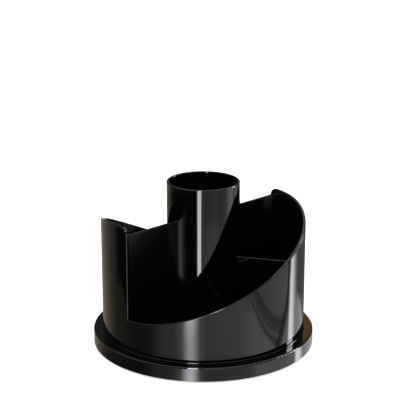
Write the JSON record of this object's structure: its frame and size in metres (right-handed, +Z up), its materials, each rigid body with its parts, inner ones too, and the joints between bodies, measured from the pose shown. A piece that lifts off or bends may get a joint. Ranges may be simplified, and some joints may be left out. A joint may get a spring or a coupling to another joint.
{
  "type": "revolving desk organizer",
  "caption": "Revolving desk organizer: black glossy tub with swept rim, open wedge compartments and a central pencil tube, on a ball-race base dish.",
  "frame": {"origin": "centre of the underside of the feet, on the turning axis", "axes": "+Z up along the turning axis; -Y is the front, where the rim's low step is at the left"},
  "size_m": [0.145, 0.145, 0.1088],
  "materials": {
    "black_polystyrene": "glossy moulded black polystyrene",
    "foot_rubber": "soft matt dark rubber",
    "white_acetal": "natural off-white acetal",
    "plated_steel": "bright zinc-plated steel"
  },
  "bodies": {
    "base": {"base_dish": "black_polystyrene", "rubber_foot_1": "foot_rubber", "rubber_foot_2": "foot_rubber", "rubber_foot_3": "foot_rubber", "rubber_foot_4": "foot_rubber", "lower_race": "white_acetal", "pivot_bush": "white_acetal"},
    "bearing_cage": {"ball_cage": "white_acetal", "bearing_balls": "plated_steel"},
    "tub": {"upper_race": "white_acetal", "tub_floor": "black_polystyrene", "sweep_wall_front": "black_polystyrene", "sweep_wall_back": "black_polystyrene", "tall_divider_front": "black_polystyrene", "tall_divider_back": "black_polystyrene", "mid_divider_front": "black_polystyrene", "mid_divider_back": "black_polystyrene", "low_divider_front": "black_polystyrene", "low_divider_back": "black_polystyrene", "pencil_tube": "black_polystyrene", "thrust_washer": "plated_steel", "shoulder_screw": "plated_steel"}
  },
  "joints": [
    {"name": "tub_spin", "type": "hinge", "parent": "base", "child": "tub", "pos_m": [0, 0, 0.0115], "axis": [0, 0, 1], "continuous": true},
    {"name": "cage_spin", "type": "hinge", "parent": "base", "child": "bearing_cage", "pos_m": [0, 0, 0.0115], "axis": [0, 0, 1], "continuous": true}
  ],
  "couplings": [
    {"joint": "cage_spin", "follows": "tub_spin", "ratio": 0.5}
  ]
}
